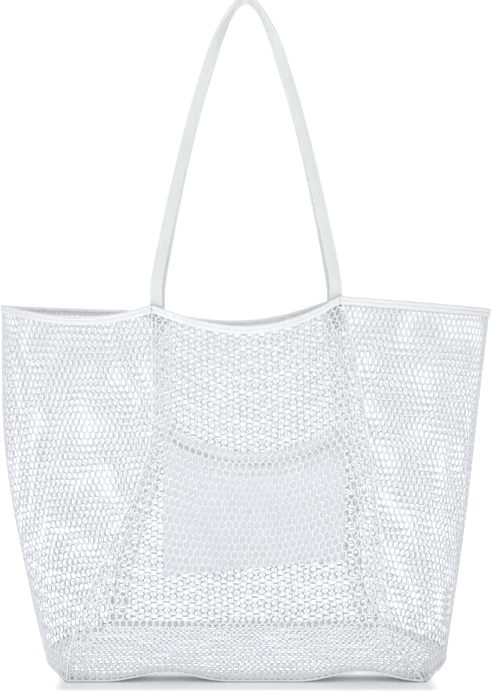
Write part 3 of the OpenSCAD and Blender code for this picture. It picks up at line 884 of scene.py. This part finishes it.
def cloth_layer(name, radius, y, outward, fill, seed):
    """One pocket layer: a thin closed sheet under an arc, pushed forward by soft folds."""
    xs = np.linspace(back_lo.x, back_hi.x, 110)
    rings = []
    for k in np.linspace(0, 1, 90):
        top = arc_centre.z - np.sqrt(np.maximum(radius ** 2 - (xs - arc_centre.x) ** 2, 0))
        foot = pocket_foot(xs)
        z = mix(foot, top, k)
        u = (xs - xs[0]) / (xs[-1] - xs[0])
        edge = np.sin(math.pi * u) ** 0.5 * math.sin(math.pi * k) ** 0.6 if 0 < k < 1 else np.zeros(len(xs))
        soft = 0.5 + 0.5 * np.sin(9 * u + 4 * k + seed) * np.sin(5 * k - 3 * u + seed)
        fine = 0.3 * np.sin(31 * u + 9 * k + seed) * np.sin(17 * k - 12 * u)
        push = fill * np.nan_to_num(edge) * (0.55 + 0.45 * soft + 0.25 * fine)
        hem = 0.35 * MM * (np.exp(-((u - 0.03) / 0.012) ** 2) + np.exp(-((u - 0.97) / 0.012) ** 2)
                           + math.exp(-((k - 0.045) / 0.018) ** 2))
        middle = y + outward * (push + hem)
        face = np.stack([xs, middle - cloth_t / 2, z], -1)
        rear = np.stack([xs, middle + cloth_t / 2, z], -1)
        rings.append(np.concatenate([face, rear[::-1]]))
    made = soft_strip(name, rings, pocket_cloth, "bag")
    for u0 in (0.018, 0.045, 0.955, 0.982):
        i = int(u0 * (len(xs) - 1))
        line = np.array([r[i] for r in rings])[3:-2]
        stitch_row(made, line, (0, -1, 0))
    for k0 in (0.03, 0.062):
        j = int(k0 * (len(rings) - 1))
        line = rings[j][3:len(xs) - 3]
        stitch_row(made, line, (0, -1, 0))
    return made


rear = cloth_layer("pocket_back", pocket_arc, back_hi.y - cloth_t / 2, -1, 0.8 * MM, 0.4)
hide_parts("pocket_back")
front_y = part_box("pocket_front")[0].y + cloth_t / 2
front_layer = cloth_layer("pocket_front", front_arc, front_y, -1, 3.2 * MM, 1.7)
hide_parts("pocket_front")


# ---- Zip ----
# A nylon coil zip follows the pocket's curve: two woven tapes, the two rows of the coil sewn along
# them, and a small crimped stop at each end.
# The tapes are smooth close-woven polyester, drawn with threads coarse enough to show.
tape_weave = woven("woven_zip_tape", "#FDFDFD", "#F1F2F3", 0.9 * MM, 1.2 * MM, 0.15 * MM, 0.7)
tape_y = (upper_lo.y + upper_hi.y) / 2
zip_half = math.asin(min(1, (upper_hi.x - arc_centre.x) / (pocket_arc + zip_tape_w)))
zip_angles = np.linspace(-zip_half, zip_half, 130)


def on_arc(radius, angle, y):
    """A point at an angle from straight below the arc's centre."""
    return np.array([arc_centre.x + radius * math.sin(angle), y, arc_centre.z - radius * math.cos(angle)])


# Each tape runs on behind the coil to its middle, and the upper one is turned back and sewn to the
# rear layer, which closes the pocket.
turned_back = {"zip_upper_tape": back_hi.y - cloth_t * 1.5 - tape_y, "zip_lower_tape": 0}
for name, r0, r1, seam in (("zip_upper_tape", pocket_arc, zip_r - 0.1 * MM, pocket_arc + 4.2 * MM),
                           ("zip_lower_tape", zip_r + 0.1 * MM, lower_r + zip_tape_w, front_arc - 1.5 * MM)):
    rings = []
    for angle in zip_angles:
        wave = 0.15 * MM * math.sin(angle * 60)

        def place(r, d):
            """A point of the tape at a radius and a depth, where its edge may be turned back."""
            back = turned_back[name] * (1 - ease(abs(r - pocket_arc) / (3.5 * MM)))
            return on_arc(r, angle, tape_y + d + wave + back)

        rings.append(strip_ring(place, r0, r1, -cloth_t / 2, cloth_t / 2, 8))
    tape = soft_strip(name, rings, tape_weave, "bag")
    line = [on_arc(seam, a, tape_y - cloth_t / 2) for a in zip_angles]
    stitch_row(tape, line, (0, -1, 0))
    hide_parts(name)

# Nylon monofilament, wound into a flat coil: smooth, slightly see-through plastic with a soft gloss.
nylon, tree = new_material("nylon_coil")
coords = add_node(tree, "ShaderNodeTexCoord")
cloud = add_node(tree, "ShaderNodeTexNoise", {"Vector": (coords, "Object"), "Scale": 700.0, "Detail": 2.0})
relief = add_node(tree, "ShaderNodeBump", {"Height": (cloud, "Fac"), "Strength": 0.15, "Distance": 0.1 * MM})
tint = add_node(tree, "ShaderNodeMix", {"Factor": (cloud, "Fac"), "A": srgb("#F3F4F6"), "B": srgb("#FCFCFD")},
                data_type="RGBA")
shader = add_node(tree, "ShaderNodeBsdfPrincipled", {
    "Base Color": (tint, 2), "Roughness": 0.35, "Normal": (relief, 0), "IOR": 1.53,
    "Subsurface Weight": 0.1, "Subsurface Scale": 0.5 * MM})
add_node(tree, "ShaderNodeOutputMaterial", {"Surface": (shader, 0)})

# The coil is two rows of turns, set off to each side in turn, which mesh along the middle.
coil_lo, coil_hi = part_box("zip_coil")
coil_y = (coil_lo.y + coil_hi.y) / 2
tooth_pitch = 1.5 * MM
coil_half = zip_half - math.radians(1.6)
clear_selection()
bpy.ops.mesh.primitive_cylinder_add(vertices=8, radius=0.5 * MM, depth=2.9 * MM)
edit_all()
bpy.ops.mesh.bevel(offset=0.22 * MM, segments=1, affect="EDGES")
bpy.ops.transform.resize(value=(1.35, 1.3, 1))
bpy.ops.mesh.normals_make_consistent(inside=False)
bpy.ops.object.mode_set(mode="OBJECT")
tooth = bpy.context.object
tooth_points = np.array([v.co[:] for v in tooth.data.vertices])
tooth_faces = [tuple(p.vertices) for p in tooth.data.polygons]
bpy.data.objects.remove(tooth)
number = int(2 * coil_half * zip_r / tooth_pitch)


def on_zip(points, angle, y=0):
    """Puts points drawn about the origin, x along the zip and z towards the arc's centre, on the zip."""
    c, s = math.cos(angle), math.sin(angle)
    turn = np.array([(c, 0, s), (0, 1, 0), (-s, 0, c)])
    return on_arc(zip_r, angle, y) + points @ turn


points, faces = [], []
for i in range(number):
    angle = -coil_half + (i + 0.5) * 2 * coil_half / number
    off = (0.62 if i % 2 else -0.62) * MM
    points.append(on_zip(tooth_points + np.array([0, 0, off]), angle, coil_y - 0.4 * MM))
    faces.extend(tuple(v + i * len(tooth_points) for v in f) for f in tooth_faces)
coil = finish_mesh("zip_coil", np.concatenate(points), faces, nylon)
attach(coil, "bag")
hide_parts("zip_coil")
for sign in (-1, 1):
    line = [on_arc(zip_r + sign * 1.5 * MM, a, coil_lo.y + 0.25 * MM)
            for a in np.linspace(-coil_half, coil_half, 130)]
    stitch_row(coil, line, (0, -1, 0))

# ---- Slider, stops and puller ----
# Die-cast zinc in white enamel: two crimped stops, a wedge-shaped slider whose channel runs over
# the coil, and a flat pull tab that swings on the slider's pin. The enamel is smooth and glossy,
# with a gloss that varies slightly where it was sprayed thicker.
enamel, tree = new_material("white_enamelled_zinc")
coords = add_node(tree, "ShaderNodeTexCoord")
cloud = add_node(tree, "ShaderNodeTexNoise", {"Vector": (coords, "Object"), "Scale": 260.0, "Detail": 3.0})
relief = add_node(tree, "ShaderNodeBump", {"Height": (cloud, "Fac"), "Strength": 0.12, "Distance": 0.1 * MM})
tint = add_node(tree, "ShaderNodeMix", {"Factor": (cloud, "Fac"), "A": srgb("#E6E7E9"), "B": srgb("#F3F4F5")},
                data_type="RGBA")
rough = add_node(tree, "ShaderNodeMapRange", {"Value": (cloud, "Fac"), "To Min": 0.18, "To Max": 0.34})
shader = add_node(tree, "ShaderNodeBsdfPrincipled", {
    "Base Color": (tint, 2), "Roughness": (rough, 0), "Normal": (relief, 0), "Coat Weight": 0.4})
add_node(tree, "ShaderNodeOutputMaterial", {"Surface": (shader, 0)})

slider_angle = math.atan2(hinges["puller_swing"][0] - arc_centre.x, arc_centre.z - hinges["puller_swing"][2])
coil_w = 4.4 * MM
slider_l = 10 * MM


def block(size, centre):
    """A box at its size and place, left in edit mode with everything selected."""
    clear_selection()
    bpy.ops.mesh.primitive_cube_add(size=1, location=(0, 0, 0))
    made = bpy.context.object
    bpy.ops.object.mode_set(mode="EDIT")
    bpy.ops.transform.resize(value=size)
    bpy.ops.transform.translate(value=centre)
    return made


def select_vertices(made, test):
    """Selects the vertices of a mesh in edit mode that pass a test of their place."""
    bpy.ops.mesh.select_all(action="DESELECT")
    bpy.ops.object.mode_set(mode="OBJECT")
    for v in made.data.vertices:
        v.select = bool(test(v.co))
    for e in made.data.edges:
        e.select = all(made.data.vertices[i].select for i in e.vertices)
    for p in made.data.polygons:
        p.select = all(made.data.vertices[i].select for i in p.vertices)
    bpy.ops.object.mode_set(mode="EDIT")


def finish_block(made, width, segments):
    """Rounds a block's edges and leaves edit mode."""
    pick(made)
    bevel = made.modifiers.new("round", "BEVEL")
    bevel.width, bevel.segments = width, segments
    bevel.limit_method, bevel.angle_limit = "ANGLE", math.radians(30)
    bpy.ops.object.modifier_apply(modifier="round")
    bpy.ops.object.shade_smooth_by_angle(angle=math.radians(40))
    clear_selection()


def set_on_zip(made, angle):
    """Moves a piece drawn about the origin to its place on the zip, and enamels it."""
    moved = on_zip(np.array([v.co[:] for v in made.data.vertices]), angle)
    made.data.vertices.foreach_set("co", moved.ravel())
    made.data.materials.clear()
    made.data.materials.append(enamel)
    made.data.update()


pin_y = hinges["puller_swing"][1]
plate_y = pin_y + 2.4 * MM
slider_half = coil_w / 2 + 1.4 * MM
plate = block((slider_l, 1.0 * MM, 2 * slider_half), (0, plate_y + 0.5 * MM, 0))
select_vertices(plate, lambda c: c.x < 0)
bpy.ops.transform.resize(value=(1, 1, 0.72), center_override=(0, plate_y, 0))
select_vertices(plate, lambda c: c.y < plate_y + 0.2 * MM)
bpy.ops.transform.resize(value=(0.9, 1, 0.9), center_override=(0, plate_y, 0))
finish_block(plate, 0.35 * MM, 3)
flanges = []
for side in (-1, 1):
    flange_z = side * (slider_half - 0.5 * MM)
    flange = block((slider_l * 0.96, 2.6 * MM, 0.95 * MM), (0, plate_y + 1.7 * MM, flange_z))
    select_vertices(flange, lambda c: c.x < 0)
    bpy.ops.transform.translate(value=(0, 0, -side * 0.098 * slider_half))
    finish_block(flange, 0.25 * MM, 2)
    flanges.append(flange)
posts = []
for side in (-1, 1):
    post = block((1.0 * MM, 3.4 * MM, 2.8 * MM), (side * 2.2 * MM, plate_y - 1.1 * MM, 0))
    select_vertices(post, lambda c: c.y < plate_y - 2 * MM)
    bpy.ops.transform.resize(value=(1, 1, 0.6), center_override=(0, plate_y, 0))
    finish_block(post, 0.3 * MM, 3)
    posts.append(post)
clear_selection()
bpy.ops.mesh.primitive_cylinder_add(vertices=20, radius=0.6 * MM, depth=4.6 * MM)
pin = bpy.context.object
edit_all()
bpy.ops.transform.rotate(value=math.pi / 2, orient_axis="Y", center_override=(0, 0, 0))
bpy.ops.transform.translate(value=(0, pin_y, 0))
finish_block(pin, 0.1 * MM, 1)
slider = joined("zip_slider", [plate, *flanges, *posts, pin])
set_on_zip(slider, slider_angle)
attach(slider, "zip_slider")
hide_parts("zip_slider")

# The tab is a long teardrop with a raised rim, and its eye is a ring round the pin.
tab_l = 20 * MM
clear_selection()
bpy.ops.mesh.primitive_torus_add(
    major_radius=1.2 * MM, minor_radius=0.45 * MM, major_segments=28, minor_segments=10)
eye = bpy.context.object
edit_all()
bpy.ops.transform.rotate(value=math.pi / 2, orient_axis="Y", center_override=(0, 0, 0))
bpy.ops.transform.resize(value=(2.4, 1, 1))
bpy.ops.transform.translate(value=(0, pin_y, 0))
bpy.ops.object.mode_set(mode="OBJECT")
bpy.ops.object.shade_smooth()
neck = block((2.2 * MM, 1.0 * MM, 4.2 * MM), (0, pin_y - 0.5 * MM, -3.2 * MM))
finish_block(neck, 0.3 * MM, 3)
tab = block((6 * MM, 1.1 * MM, tab_l - 1 * MM), (0, pin_y - 0.6 * MM, -slider_half - tab_l / 2 - 0.4 * MM))
select_vertices(tab, lambda c: c.z > -slider_half - tab_l / 2)
bpy.ops.transform.resize(value=(0.55, 1, 1), center_override=(0, pin_y, 0))
select_vertices(tab, lambda c: c.y < pin_y - 1.0 * MM)
bpy.ops.mesh.inset(thickness=0.8 * MM)
bpy.ops.transform.translate(value=(0, 0.3 * MM, 0))
finish_block(tab, 0.3 * MM, 3)
puller = joined("zip_puller", [tab, neck, eye])
set_on_zip(puller, slider_angle)
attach(puller, "zip_puller")
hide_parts("zip_puller")

# Each stop is a small block, squeezed round the end of the coil.
stops = []
for sign in (-1, 1):
    crimp = block((1.9 * MM * 2, 2.4 * MM, coil_w), (0, coil_y, 0))
    bpy.ops.mesh.subdivide(number_cuts=2)
    select_vertices(crimp, lambda c: abs(c.x) < 0.8 * MM)
    bpy.ops.transform.resize(value=(1, 0.86, 0.94), center_override=(0, coil_y, 0))
    finish_block(crimp, 0.4 * MM, 2)
    set_on_zip(crimp, sign * (zip_half - math.radians(0.75)))
    stops.append(crimp)
stop_pair = joined("zip_stops", stops)
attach(stop_pair, "bag")
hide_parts("zip_stops")
